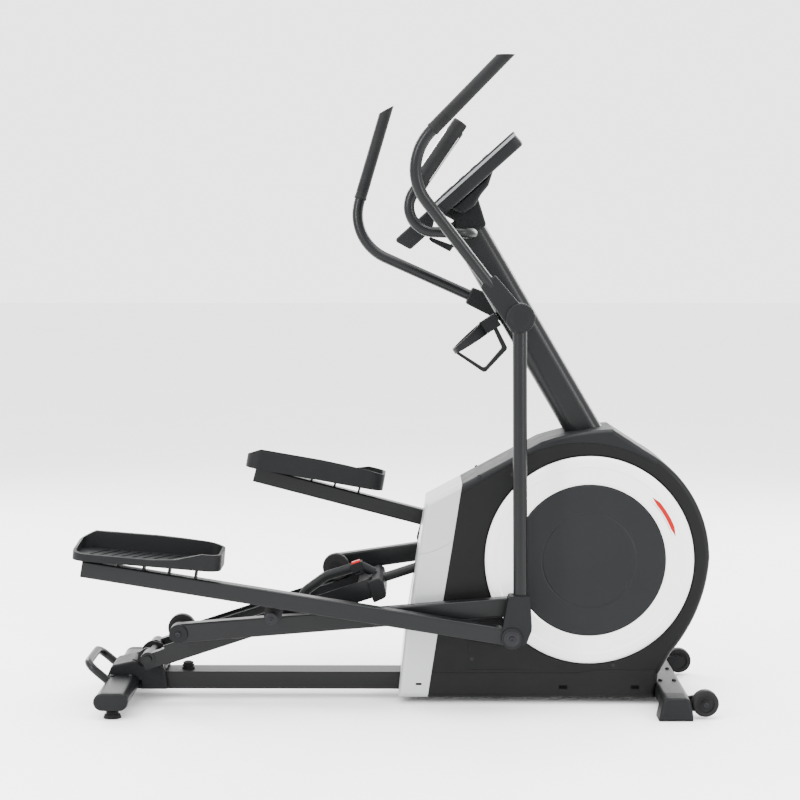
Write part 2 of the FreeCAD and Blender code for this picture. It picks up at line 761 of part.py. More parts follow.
def leg_bracket():
    """Two cheeks that carry the pedal arm pin under the leg."""
    x, z = LEG_PIN
    points = [(x - 27, z + 6), (x - 8, z + 108), (x + 45, z + 108), (x + 51, z + 22), (x + 36, z - 16),
              (x, z - 27), (x - 24, z - 18)]
    radii = [10, 6, 6, 30, 16, 12, 14]
    outer = plate(points, -242, -237, radii)
    inner = plate(points, -195, -190, radii)
    wrap = plate([(x - 8, z + 66), (x - 8, z + 108), (x + 45, z + 108), (x + 46, z + 66)],
                 -237, -195, [8, 6, 6, 8])
    front = plate([(x + 44, z + 30), (x + 44.5, z + 80), (x + 48, z + 80), (x + 51, z + 30)], -237, -195)
    tube = Part.makeCylinder(LEG_R + 0.1, 300, V(SWING_PIVOT[0] + 4.4, -LEG_Y, z + 94))
    pin = rod(LEG_PIN, 9, -246, -187)
    cap = rod(LEG_PIN, 27, -248, -242)
    cap = softened(cap, 2.5, on_outer_end(-248))
    nut = rod(LEG_PIN, 14, -190, -186)
    return outer.fuse([inner, wrap.cut(tube), front, pin, cap, nut]).removeSplitter()


def handle_points():
    p = SWING_PIVOT
    return [V(p[0] - 26.6, -LEG_Y - 4, p[1] + 21.2), V(5.7, -284, 1396.5), V(280.3, -302, 1675)]


def handle():
    tube = round_tube(handle_points(), [132], 15, TUBE_WALL)
    return tube.cut(rod(SWING_PIVOT, 28.05, -190, -260)).cut(block(-100, 500, -400, 0, 1650, 1800))


def leg_hub():
    """Moulded knuckle over the hub and the foot of the handle."""
    p = SWING_PIVOT
    disc = rod(p, 37, -251, -192)
    disc = softened(disc, 5.0, on_outer_end(-251))
    neck = plate([(-20, -31), (-20, 31), (124, 24), (124, -24)], -245, -196, [8, 8, 6, 6])
    neck = softened(neck, 5.0, lambda e: e.BoundBox.XLength > 120)
    neck = moved(swung(neck, (0, 0), 127.9), p[0] - 6.3, p[1] - 4.9)
    body = disc.fuse(neck)
    pts = handle_points()
    body = body.cut(round_bar(pts, [132], 15.1))
    body = body.cut(rod(p, 28.1, -238.3, -180)).cut(rod(p, 17, -243, -180))
    return body.cut(round_bar(leg_ends(), [], LEG_R + 0.1))


def grip():
    """Ribbed sleeve over the upper end of the handle, cut level on top."""
    a = V(91.6, -289.6, 1483.6)
    b = V(280.3, -302, 1675)
    outer = round_bar([a, b], [], 16.5)
    inner = round_bar(handle_points(), [132], 15.05)
    inner = inner.cut(block(-100, 500, -400, 0, 1652, 1800))
    shape = outer.cut(inner)
    return shape.cut(block(-100, 500, -400, 0, HEIGHT, 1800))


def arm_place(shape):
    """From pedal arm coordinates (origin at its pin) to the machine."""
    turned = swung(shape, (0, 0), -PEDAL_ARM_SLOPE)
    return moved(turned, LEG_PIN[0], LEG_PIN[1])


def pedal_arm():
    half = PEDAL_ARM_TALL / 2.0
    outer = block(-1108, -8, -PEDAL_ARM_OUT, -PEDAL_ARM_IN, -half, half)
    outer = softened(outer, 5.0, lambda e: e.BoundBox.XLength > 1000)
    w = TUBE_WALL
    inner = block(-1105, -8, -PEDAL_ARM_OUT + w, -PEDAL_ARM_IN - w, -half + w, half - w)
    boss = rod((0, 0), 24, -235.5, -196.5)
    arm = outer.cut(inner).cut(rod((0, 0), 23.9, -240, -190)).fuse(boss)
    arm = arm.cut(rod((0, 0), 9 + RUNNING_GAP, -240, -190))
    mx, mz = MID_LOCAL
    ear = plate([(mx - 22, mz - 20), (mx - 22, 12), (mx + 30, 12), (mx + 22, mz - 20)],
                -187, -180, [20, 6, 6, 20])
    pad = block(mx - 18, mx + 24, -196, -187, -12, 12)
    cap = rod(MID_LOCAL, 20, -190, -187)
    bolt = rod(MID_LOCAL, 8, -194, -178.6)
    return arm_place(arm.fuse([ear, pad, cap, bolt]).removeSplitter())


def pedal_body():
    """Tray in its own coordinates: x from heel to toe, z up."""
    y0 = -PEDAL_OUT
    y1 = -PEDAL_IN
    block_all = block(0, 378, y0, y1, 0, 58)
    tray = softened(block_all, 38.0, lambda e: e.BoundBox.ZLength > 50)
    pocket = block(8, 370, y0 + 8, y1 - 8, 11, 80)
    pocket = softened(pocket, 31.0, lambda e: e.BoundBox.ZLength > 60)
    tray = tray.cut(pocket)
    inner_top = [(-10, 34), (36, 56), (200, 57), (262, 55), (330, 51), (390, 42)]
    outer_top = [(-10, 18), (36, 18), (200, 17), (262, 22), (330, 42), (390, 40)]
    wires = []
    for y, line in ((y1 + 2, inner_top), (y0 - 2, outer_top)):
        pts = [V(x, y, z) for x, z in line]
        pts = pts + [V(390, y, 120), V(-10, y, 120), pts[0]]
        wires.append(Part.makePolygon(pts))
    tray = tray.cut(Part.makeLoft(wires, True, True))
    return tray


def pedal():
    tray = pedal_body()
    ribs = []
    for k in range(11):
        x = 52 + 27 * k
        rib = block(-2, 2, -63, 63, 10.5, 13)
        rib.rotate(V(0, 0, 0), V(0, 0, 1), -24)
        rib.translate(V(x, -187, 0))
        ribs.append(rib)
    tray = tray.fuse(ribs)
    tray = swung(tray, (0, 0), 4.4)
    tray = moved(tray, PEDAL_HEEL, PEDAL_ARM_TALL / 2.0 + PEDAL_GAP)
    wedge = plate([(-1112, 21.4), (-760, 21.4), (-760, 56), (-1112, 30)], -PEDAL_ARM_OUT + 4, -PEDAL_ARM_IN - 4)
    under = swung(block(0, 378, -300, -80, 0, 80), (0, 0), 4.4)
    under = moved(under, PEDAL_HEEL, PEDAL_ARM_TALL / 2.0 + PEDAL_GAP)
    wedge = wedge.cut(under)
    posts = [block(-1104, -1060, -260, -180, 0, 80)]
    for x in (-1020, -955, -890, -822):
        posts.append(block(x, x + 6, -260, -180, 0, 80))
    shape = tray
    for post in posts:
        shape = shape.fuse(wedge.common(post))
    return arm_place(shape.removeSplitter())


def roller_place(shape):
    """From roller arm coordinates (origin at the roller) to the machine."""
    turned = swung(shape, (0, 0), ROLLER_ARM_SLOPE)
    return moved(turned, ROLLER_START[0], ROLLER_START[1])


def roller_arm():
    """Arm from the ramp roller forward to the crank pin."""
    half = ROLLER_ARM_TALL / 2.0
    end = ROLLER_ARM_LENGTH
    y0 = -ROLLER_ARM_OUT
    y1 = -ROLLER_ARM_IN
    tube = block(0, end, y0, y1, -half, half)
    tube = softened(tube, 5.0, lambda e: e.BoundBox.XLength > 800)
    w = TUBE_WALL
    tube = tube.cut(block(0, end, y0 + w, y1 - w, -half + w, half - w))
    ends = [(0, 0), (end, 0)]
    for spot in ends:
        tube = tube.cut(rod(spot, half - 0.2, y0 - 1, y1 + 1))
    shape = tube.fuse([rod(spot, half, y0, y1) for spot in ends])
    shape = shape.cut(rod((0, 0), 8 + RUNNING_GAP, y0 - 2, y1 + 2))
    boss = rod(MID_FROM_ROLLER, 17, y0 - 1.2, y0 + 6)
    pin = rod((end, 0), 11, -179, -124.5)
    flange = rod((end, 0), 24, -140, -126)
    cap = rod((end, 0), 20, -181, -176)
    return roller_place(shape.fuse([boss, pin, flange, cap]).removeSplitter())


def roller_axle():
    p = ROLLER_START
    shaft = rod(p, 8, -181, -74)
    head = softened(rod(p, 24, -182, -176.5), 2.0, on_outer_end(-182))
    spacer = rod(p, 14, -138, -103)
    clip = rod(p, 13, -77, -72)
    return shaft.fuse([head, spacer, clip])


def roller():
    p = ROLLER_START
    wheel = rod(p, ROLLER_R, -ROLLER_OUT, -ROLLER_IN)
    wheel = softened(wheel, 3.0, lambda e: e.Length > 200)
    wheel = wheel.cut(sleeve(p, 26, 14, -ROLLER_OUT, -ROLLER_OUT + 4))
    return wheel.cut(rod(p, 8 + RUNNING_GAP, -110, -70))


def other_leg(shape):
    return swung(mirrored(shape), SWING_PIVOT, SWING_RANGE)


def other_pedal(shape):
    turned = swung(mirrored(shape), LEG_PIN, PEDAL_ARM_SLOPE - PEDAL_ARM_SLOPE_FAR)
    return moved(turned, LEG_PIN_FAR[0] - LEG_PIN[0], LEG_PIN_FAR[1] - LEG_PIN[1])


def other_roller(shape):
    turned = swung(mirrored(shape), ROLLER_START, ROLLER_ARM_SLOPE_FAR - ROLLER_ARM_SLOPE)
    return moved(turned, ROLLER_FAR[0] - ROLLER_START[0], ROLLER_FAR[1] - ROLLER_START[1])


def other_axle(shape):
    step = (ROLLER_FAR[0] - ROLLER_START[0], ROLLER_FAR[1] - ROLLER_START[1])
    return moved(mirrored(shape), step[0], step[1])


# ---------------------------------------------------------------- console
CONSOLE_EDGE = (83.0, 1295.0)
CONSOLE_TILT = 41.8


def console_place(shape):
    turned = swung(shape, (0, 0), CONSOLE_TILT)
    return moved(turned, CONSOLE_EDGE[0], CONSOLE_EDGE[1])


def console_face():
    """Front bezel with the key pads and the window frame."""
    body = block(0, 287, -168, 168, -12, 0)
    body = softened(body, 26.0, lambda e: e.BoundBox.ZLength > 11)
    body = softened(body, 3.0, lambda e: e.BoundBox.ZMin > -0.1)
    body = body.cut(block(92, 262, -118, 118, -3, 5))
    for y in (-140, 140):
        for x in (70, 110, 150, 190):
            body = body.cut(sleeve_flat(x, y, 10, 9, -0.8))
    for y in (-84, -42, 0, 42, 84):
        body = body.cut(sleeve_flat(52, y, 12, 11, -0.8))
    return console_place(body)


def sleeve_flat(x, y, outer, inner, depth):
    a = Part.makeCylinder(outer, 5, V(x, y, depth))
    return a.cut(Part.makeCylinder(inner, 5, V(x, y, depth)))


def console_screen():
    pane = block(92.4, 261.6, -117.6, 117.6, -3, -1.6)
    return console_place(pane)


def console_back():
    shell = block(2, 285, -166, 166, -42, -12)
    shell = softened(shell, 24.0, lambda e: e.BoundBox.ZLength > 18)
    shell = softened(shell, 8.0, lambda e: e.BoundBox.ZMax < -41.9)
    hump = plate([(40, -40), (188, -40), (152, -61), (122, -66), (92, -76), (52, -72)],
                 -88, 88, [0, 0, 10, 16, 12, 12])
    hump = softened(hump, 8.0, on_outer_end(88))
    hump = softened(hump, 8.0, on_outer_end(-88))
    return console_place(shell.fuse(hump).removeSplitter())


def console_tray():
    """Accessory shelf in front of the console, with side lips."""
    body = plate([(-124, -4), (-108, -50), (-34, -50), (-6, -31), (4, -31), (4, -14), (-8, -4)],
                 -112, 112, [8, 8, 14, 6, 0, 0, 6])
    body = softened(body, 6.0, on_outer_end(112))
    body = softened(body, 6.0, on_outer_end(-112))
    well = block(-106, -18, -100, 100, -34, 10)
    body = body.cut(well)
    body = body.cut(block(2, 40, -200, 200, -31.2, 0.2))
    body = body.cut(block(-0.2, 40, -200, 200, -12.2, 0.2))
    return console_place(body)


def console_neck():
    """Cover that joins the console to the head of the mast."""
    points = [mast_frame(240, 50), mast_frame(240, -50), (150, 1262), (118, 1278), (196, 1350), (212, 1318)]
    body = plate(points, -46, 46, [8, 8, 8, 0, 0, 8])
    stay = plate([(72, 1224), (150, 1196), (139, 1180), (92, 1205)], -32, 32, [4, 0, 4, 6])
    link = plate([(140, 1194), (152, 1190), (178, 1232), (160, 1240)], -20, 20)
    body = softened(body, 6.0, on_outer_end(46))
    body = softened(body, 6.0, on_outer_end(-46))
    body = body.cut(mast_bar(0, 292.2, MAST_DEPTH + 0.2, MAST_WIDTH + 0.2))
    body = body.fuse([stay, link]).cut(mast_bar(0, 292.2, MAST_DEPTH + 0.2, MAST_WIDTH + 0.2))
    body = body.cut(console_back()).cut(console_tray())
    return body.cut(rod((193, 1228), 14.2, -80, 80))


def pulse_bar():
    """Fixed bar: out of the mast to the side, back, then up and forward."""
    side = round_tube(pulse_points(), [45, 65], 13.5, TUBE_WALL)
    bar = side.fuse(mirrored(side))
    return bar.cut(mast_bar(0, 292, MAST_DEPTH, MAST_WIDTH))


def pulse_run(along):
    """Point on the straight upper run of the fixed bar."""
    return V(52 + 0.5635 * along, -190, 1344.6 + 0.8261 * along)


def pulse_points():
    return [V(193, 0, 1228), V(193, -190, 1228), V(-23.3, -190, 1234), pulse_run(190)]


def pulse_grips():
    sleeve_bar = round_bar([pulse_run(0), pulse_run(197)], [], 19.5)
    sleeve_bar = softened(sleeve_bar, 5.0, lambda e: e.Length > 100 and len(e.Vertexes) == 1)
    inner = round_bar(pulse_points(), [45, 65], 13.55)
    return both(sleeve_bar.cut(inner))


def pulse_contacts():
    plate_bar = round_bar([pulse_run(30), pulse_run(160)], [], 20.5)
    core = round_bar([pulse_run(0), pulse_run(192)], [], 19.52)
    shells = plate_bar.cut(core)
    strip = block(0, 300, -198, -182, 1300, 1600)
    return both(shells.common(strip))


def bottle_holder():
    """Tilted ring and under-strap that hold a drinking bottle."""
    lean = 32.4
    ring = Part.makeCylinder(51, 38, V(0, 0, -8)).cut(Part.makeCylinder(41, 60, V(0, 0, -15)))
    ring = ring.cut(plate([(-70, 2), (90, 33), (90, 90), (-70, 90)], -60, 60))
    arm = block(45, 92, -17, 17, -8, 27)
    holder = ring.fuse([arm, round_strap()]).removeSplitter()
    holder = swung(holder, (0, 0), lean)
    holder = moved(holder, 192, 946)
    return holder.cut(mast_bar(-300, 290, MAST_DEPTH, MAST_WIDTH))


def round_strap():
    """Band under the ring that carries the bottle's base."""
    points = [(-49, -6), (-41, -6), (-6, -81), (62, -60), (69, -6), (80, -6), (74, -70), (-12, -92)]
    return plate(points, -11, 11, [0, 0, 8, 6, 0, 0, 10, 10])


# ----------------------------------------------------------------- export
def all_parts():
    casing = casing_body()
    hollow = casing_hollow()
    half = shroud_half(casing, hollow)
    right = {
        "leg": leg(), "leg_bracket": leg_bracket(), "leg_hub": leg_hub(),
        "handle": handle(), "grip": grip(),
    }
    parts = {
        "main_rail": main_rail(),
        "rear_stabilizer": rear_stabilizer(),
        "rear_end_caps": rear_end_caps(),
        "rear_handle": rear_handle(),
        "hinge_cover": hinge_cover(),
        "front_stabilizer": front_stabilizer(),
        "front_boots": front_boots(),
        "drive_frame": drive_frame(),
        "mast": mast(),
        "swing_axle": swing_axle(),
        "shroud_right": half,
        "shroud_left": mirrored(half),
        "rear_panel": rear_panel_top(casing, hollow),
        "rear_panel_lower": rear_panel_low(casing, hollow),
        "top_cover": top_cover(casing, hollow),
        "base_cover": base_cover(casing, hollow),
        "power_inlet": power_inlet(),
        "crank_axle": crank_axle(),
        "disc_rings": both(disc_ring()),
        "disc_cores": both(disc_core()),
        "drive_pulley": drive_pulley(),
        "drive_belt": drive_belt(),
        "flywheel": flywheel(),
        "ramp_rails": ramp_rails(),
        "ramp_feet": ramp_feet(),
        "ramp_lips": ramp_lips(),
        "ramp_collar": ramp_collar(),
        "ramp_hoop": ramp_hoop(),
        "ramp_latch": ramp_latch(),
        "console_face": console_face(),
        "console_screen": console_screen(),
        "console_back": console_back(),
        "console_tray": console_tray(),
        "console_neck": console_neck(),
        "pulse_bar": pulse_bar(),
        "pulse_grips": pulse_grips(),
        "pulse_contacts": pulse_contacts(),
        "bottle_holder": bottle_holder(),
        "transport_wheel_right": mirrored(transport_wheel()),
        "transport_wheel_left": transport_wheel(),
        "levelling_foot_right": mirrored(levelling_foot()),
        "levelling_foot_left": levelling_foot(),
    }
    for name, shape in right.items():
        parts[name + "_right"] = shape
        parts[name + "_left"] = other_leg(shape)
    for name, shape in (("pedal_arm", pedal_arm()), ("pedal", pedal())):
        parts[name + "_right"] = shape
        parts[name + "_left"] = other_pedal(shape)
    arm = roller_arm()
    parts["roller_arm_right"] = arm
    parts["roller_arm_left"] = other_roller(arm)
    for name, shape in (("roller_axle", roller_axle()), ("roller", roller())):
        parts[name + "_right"] = shape
        parts[name + "_left"] = other_axle(shape)
    return parts


os.makedirs("parts", exist_ok=True)
for part_name, part_shape in all_parts().items():
    part_shape.exportStep("parts/" + part_name + ".step")
    box = part_shape.BoundBox
    solids = len(part_shape.Solids)
    print(part_name, solids, part_shape.isValid(), round(part_shape.Volume / 1000.0, 1))
    print("   ", [round(v, 1) for v in (box.XMin, box.XMax, box.YMin, box.YMax, box.ZMin, box.ZMax)])
print("roller travel", TRAVEL, "far slope", ROLLER_ARM_SLOPE_FAR, LEG_PIN, LEG_PIN_FAR, MID_FAR, ROLLER_FAR)
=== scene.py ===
"""Looks of the elliptical trainer: materials, small fittings, light and camera."""
import bpy
import bmesh
import math
from mathutils import Vector, Matrix


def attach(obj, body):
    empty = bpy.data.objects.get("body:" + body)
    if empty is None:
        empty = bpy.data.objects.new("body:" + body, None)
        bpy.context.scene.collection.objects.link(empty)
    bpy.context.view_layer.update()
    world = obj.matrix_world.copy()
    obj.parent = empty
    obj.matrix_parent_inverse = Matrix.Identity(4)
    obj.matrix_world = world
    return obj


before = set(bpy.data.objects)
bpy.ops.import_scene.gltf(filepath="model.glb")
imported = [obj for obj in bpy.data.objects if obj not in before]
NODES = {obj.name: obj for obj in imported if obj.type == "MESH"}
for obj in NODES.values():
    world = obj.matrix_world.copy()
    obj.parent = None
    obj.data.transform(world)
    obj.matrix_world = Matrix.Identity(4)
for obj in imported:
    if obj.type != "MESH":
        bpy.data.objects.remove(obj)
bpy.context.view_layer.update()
MM = 0.001

# Places and angles taken over from the CAD, in mm and degrees.
CRANK = (501.0, 382.5)
FLYWHEEL = (235.0, 330.0)
PIVOT = (311.8, 1016.4)
SWING = 28.1
ARM_SLOPE = {"right": -9.16, "left": -14.6}
ROLLER_SLOPE = {"right": 4.68, "left": 8.2154}
CASING_SIDE = 108.0
DISC_SIDE = 119.9
CONSOLE_TILT = 41.8
CONSOLE_EDGE = (83.0, 1295.0)
CONSOLE_SIZE = (287.0, 336.0)
SIGN = {"right": -1, "left": 1}


# ---------------------------------------------------------------- materials
class Shade:
    """A node tree with one Principled shader and short ways to feed it."""

    def __init__(self, name):
        self.mat = bpy.data.materials.new(name)
        self.mat.use_nodes = True
        self.tree = self.mat.node_tree
        self.tree.nodes.clear()
        self.out = self.tree.nodes.new("ShaderNodeOutputMaterial")
        self.bsdf = self.tree.nodes.new("ShaderNodeBsdfPrincipled")
        self.link(self.bsdf.outputs[0], self.out.inputs["Surface"])
        self.coord = self.tree.nodes.new("ShaderNodeTexCoord").outputs["Object"]

    def link(self, a, b):
        self.tree.links.new(a, b)

    def place(self, scale=(1, 1, 1), turn=(0, 0, 0), shift=(0, 0, 0)):
        m = self.tree.nodes.new("ShaderNodeMapping")
        m.inputs["Location"].default_value = shift
        m.inputs["Rotation"].default_value = turn
        m.inputs["Scale"].default_value = scale
        self.link(self.coord, m.inputs["Vector"])
        return m.outputs["Vector"]

    def noise(self, scale, detail=4.0, rough=0.55, vector=None):
        n = self.tree.nodes.new("ShaderNodeTexNoise")
        n.inputs["Scale"].default_value = scale
        n.inputs["Detail"].default_value = detail
        n.inputs["Roughness"].default_value = rough
        self.link(vector or self.coord, n.inputs["Vector"])
        return n.outputs["Fac"]

    def cells(self, scale):
        n = self.tree.nodes.new("ShaderNodeTexVoronoi")
        n.feature = "F1"
        n.inputs["Scale"].default_value = scale
        self.link(self.coord, n.inputs["Vector"])
        return n.outputs["Distance"]

    def wave(self, scale, vector, kind="BANDS", direction="X", distort=0.0):
        n = self.tree.nodes.new("ShaderNodeTexWave")
        n.wave_type = kind
        if kind == "BANDS":
            n.bands_direction = direction
        else:
            n.rings_direction = direction
        n.inputs["Scale"].default_value = scale
        n.inputs["Distortion"].default_value = distort
        self.link(vector, n.inputs["Vector"])
        return n.outputs["Fac"]

    def span(self, value, low, high, out_low, out_high):
        n = self.tree.nodes.new("ShaderNodeMapRange")
        n.inputs["From Min"].default_value = low
        n.inputs["From Max"].default_value = high
        n.inputs["To Min"].default_value = out_low
        n.inputs["To Max"].default_value = out_high
        self.link(value, n.inputs["Value"])
        return n.outputs["Result"]

    def math(self, kind, a, b):
        n = self.tree.nodes.new("ShaderNodeMath")
        n.operation = kind
        for k, v in enumerate((a, b)):
            if isinstance(v, (int, float)):
                n.inputs[k].default_value = v
            else:
                self.link(v, n.inputs[k])
        return n.outputs[0]

    def mix(self, fac, a, b):
        n = self.tree.nodes.new("ShaderNodeMix")
        n.data_type = "RGBA"
        self.link(fac, n.inputs[0])
        for k, v in ((6, a), (7, b)):
            if isinstance(v, tuple):
                n.inputs[k].default_value = (*v, 1)
            else:
                self.link(v, n.inputs[k])
        return n.outputs[2]

    def bump(self, height, strength, depth):
        n = self.tree.nodes.new("ShaderNodeBump")
        n.inputs["Strength"].default_value = strength
        n.inputs["Distance"].default_value = depth
        self.link(height, n.inputs["Height"])
        self.link(n.outputs["Normal"], self.bsdf.inputs["Normal"])

    def set(self, **values):
        for key, v in values.items():
            self.bsdf.inputs[key.replace("_", " ")].default_value = v

    def base(self, dark, light, scuff, patch, scuff_amount):
        """Slow colour drift with fine light scuffs over it."""
        drift = self.span(self.noise(patch, 3.0), 0.35, 0.65, 0.0, 1.0)
        colour = self.mix(drift, dark, light)
        mask = self.noise(34.0, 9.0, 0.72)
        mask = self.span(mask, 0.70 - scuff_amount, 0.82 - scuff_amount, 0.0, 1.0)
        speck = self.span(self.noise(420.0, 2.0), 0.50, 0.62, 0.0, 1.0)
        mask = self.math("MULTIPLY", mask, speck)
        self.link(self.mix(mask, colour, scuff), self.bsdf.inputs["Base Color"])
        return mask


def shade_of(colour, k):
    return tuple(min(1.0, c * k) for c in colour)


def behind(centre):
    """Shift that puts the texture's origin on a shaft's axis, given in mm."""
    return (-centre[0] * MM, 0, -centre[1] * MM)


def powder_coat(name, colour, rough=0.34):
    """Satin powder coat: orange-peel surface with a soft clear gloss."""
    s = Shade(name)
    mask = s.base(shade_of(colour, 0.86), shade_of(colour, 1.14), shade_of(colour, 1.9), 3.2, 0.02)
    fine = s.noise(310.0, 5.0)
    r = s.span(fine, 0.3, 0.7, rough - 0.05, rough + 0.05)
    r = s.math("ADD", r, s.math("MULTIPLY", mask, 0.18))
    s.link(r, s.bsdf.inputs["Roughness"])
    peel = s.math("ADD", s.noise(240.0, 2.0), s.math("MULTIPLY", s.noise(1500.0, 2.0), 0.35))
    s.bump(peel, 0.16, 0.0004)
    s.set(Metallic=0.0, Specular_IOR_Level=0.15, Coat_Weight=0.03, Coat_Roughness=0.2)
    return s.mat


def moulded(name, colour, rough=0.52, grain=1150.0, strength=0.34, coat=0.0, spec=0.12):
    """Moulded plastic with a spark-eroded grain."""
    s = Shade(name)
    mask = s.base(shade_of(colour, 0.90), shade_of(colour, 1.10), shade_of(colour, 1.7), 5.0, 0.01)
    pits = s.cells(grain)
    cloud = s.noise(26.0, 5.0)
    r = s.span(cloud, 0.3, 0.7, rough - 0.05, rough + 0.06)
    r = s.math("ADD", r, s.math("MULTIPLY", mask, -0.10))
    s.link(r, s.bsdf.inputs["Roughness"])
    height = s.math("ADD", pits, s.math("MULTIPLY", s.noise(grain * 0.5, 3.0), 0.6))
    s.bump(height, strength, 0.00022)
    s.set(Specular_IOR_Level=spec, Coat_Weight=coat, Coat_Roughness=0.2)
    return s.mat


def glossy(name, colour, rough=0.2, flake=0.0, metal=0.0, coat=0.5, spec=0.5):
    """Smooth lacquered plastic, with metal flake when asked for."""
    s = Shade(name)
    drift = s.span(s.noise(2.6, 4.0), 0.3, 0.7, 0.0, 1.0)
    colour_out = s.mix(drift, shade_of(colour, 0.955), shade_of(colour, 1.03))
    dust = s.span(s.noise(60.0, 10.0, 0.75), 0.60, 0.78, 0.0, 0.5)
    colour_out = s.mix(dust, colour_out, shade_of(colour, 0.90))
    if flake:
        spark = s.span(s.cells(2600.0), 0.0, 0.55, flake, 0.0)
        colour_out = s.mix(spark, colour_out, shade_of(colour, 1.25))
    s.link(colour_out, s.bsdf.inputs["Base Color"])
    r = s.span(s.noise(18.0, 6.0), 0.3, 0.7, rough - 0.04, rough + 0.07)
    s.link(s.math("ADD", r, s.math("MULTIPLY", dust, 0.16)), s.bsdf.inputs["Roughness"])
    s.bump(s.math("ADD", s.noise(55.0, 2.0), s.math("MULTIPLY", s.noise(900.0, 2.0), 0.1)), 0.06, 0.0006)
    s.set(Metallic=metal, Specular_IOR_Level=spec, Coat_Weight=coat, Coat_Roughness=0.12)
    return s.mat


def rubber(name, colour, rough=0.72, rib=0.0, direction="X"):
    """Soft rubber, dusty in its pores, with fine ribs when asked for."""
    s = Shade(name)
    s.base(shade_of(colour, 0.85), shade_of(colour, 1.2), shade_of(colour, 2.1), 9.0, 0.03)
    pores = s.cells(900.0)
    s.link(s.span(s.noise(40.0, 5.0), 0.3, 0.7, rough - 0.06, rough + 0.08), s.bsdf.inputs["Roughness"])
    height = s.math("ADD", s.math("MULTIPLY", pores, 0.5), s.math("MULTIPLY", s.noise(300.0, 3.0), 0.3))
    if rib:
        lines = s.wave(rib, s.place(), "BANDS", direction)
        height = s.math("ADD", height, s.math("MULTIPLY", lines, 1.6))
    s.bump(height, 0.5, 0.0005)
    s.set(Specular_IOR_Level=0.14, Sheen_Weight=0.02, Sheen_Roughness=0.5)
    return s.mat


def metal(name, colour, rough=0.3, stretch=(1, 60, 1), centre=None):
    """Machined or brushed metal; turned rings about a centre if given."""
    s = Shade(name)
    drift = s.span(s.noise(8.0, 4.0), 0.3, 0.7, 0.0, 1.0)
    s.link(s.mix(drift, shade_of(colour, 0.82), shade_of(colour, 1.1)), s.bsdf.inputs["Base Color"])
    if centre:
        lines = s.wave(420.0, s.place(shift=behind(centre)), "RINGS", "Y", 0.6)
    else:
        lines = s.noise(160.0, 6.0, 0.6, s.place(scale=stretch))
    s.link(s.span(lines, 0.2, 0.8, rough - 0.07, rough + 0.1), s.bsdf.inputs["Roughness"])
    s.bump(lines, 0.18, 0.0002)
    s.set(Metallic=1.0)
    return s.mat


def disc_face(name, colour, centre):
    """Satin moulded disc with a faint turned sheen and fine grain."""
    s = Shade(name)
    s.base(shade_of(colour, 0.90), shade_of(colour, 1.12), shade_of(colour, 1.5), 4.0, 0.0)
    rings = s.wave(95.0, s.place(shift=behind(centre)), "RINGS", "Y", 0.25)
    r = s.span(rings, 0.0, 1.0, 0.40, 0.47)
    s.link(s.math("ADD", r, s.math("MULTIPLY", s.noise(70.0, 5.0), 0.06)), s.bsdf.inputs["Roughness"])
    s.bump(s.math("ADD", s.cells(1300.0), s.math("MULTIPLY", rings, 0.15)), 0.22, 0.00018)
    s.set(Specular_IOR_Level=0.14)
    return s.mat


def display(name, colour):
    """Dark display window with a fine dot matrix under a clear pane."""
    s = Shade(name)
    grid_a = s.wave(260.0, s.place(turn=(0, math.radians(CONSOLE_TILT), 0)), "BANDS", "X")
    grid_b = s.wave(260.0, s.place(), "BANDS", "Y")
    dots = s.math("MULTIPLY", grid_a, grid_b)
    lit = s.span(dots, 0.2, 0.9, 0.0, 0.35)
    s.link(s.mix(lit, colour, shade_of(colour, 2.4)), s.bsdf.inputs["Base Color"])
    s.link(s.span(s.noise(22.0, 7.0, 0.7), 0.3, 0.75, 0.06, 0.2), s.bsdf.inputs["Roughness"])
    s.bump(s.noise(35.0, 2.0), 0.02, 0.0005)
    s.set(Coat_Weight=0.12, Coat_Roughness=0.05, Specular_IOR_Level=0.2)
    return s.mat


def weave(name, colour, accent):
    """Printed overlay film with a fine cross-hatch."""
    s = Shade(name)
    a = s.wave(520.0, s.place(turn=(0, 0, math.radians(45))), "BANDS", "X")
    b = s.wave(520.0, s.place(turn=(0, 0, math.radians(-45))), "BANDS", "X")
    s.link(s.mix(s.math("MULTIPLY", a, b), colour, accent), s.bsdf.inputs["Base Color"])
    s.link(s.span(s.noise(30.0, 6.0), 0.3, 0.7, 0.28, 0.42), s.bsdf.inputs["Roughness"])
    s.bump(s.math("ADD", s.math("MULTIPLY", a, b), s.noise(700.0)), 0.12, 0.0001)
    s.set(Specular_IOR_Level=0.15, Coat_Weight=0.04, Coat_Roughness=0.25)
    return s.mat


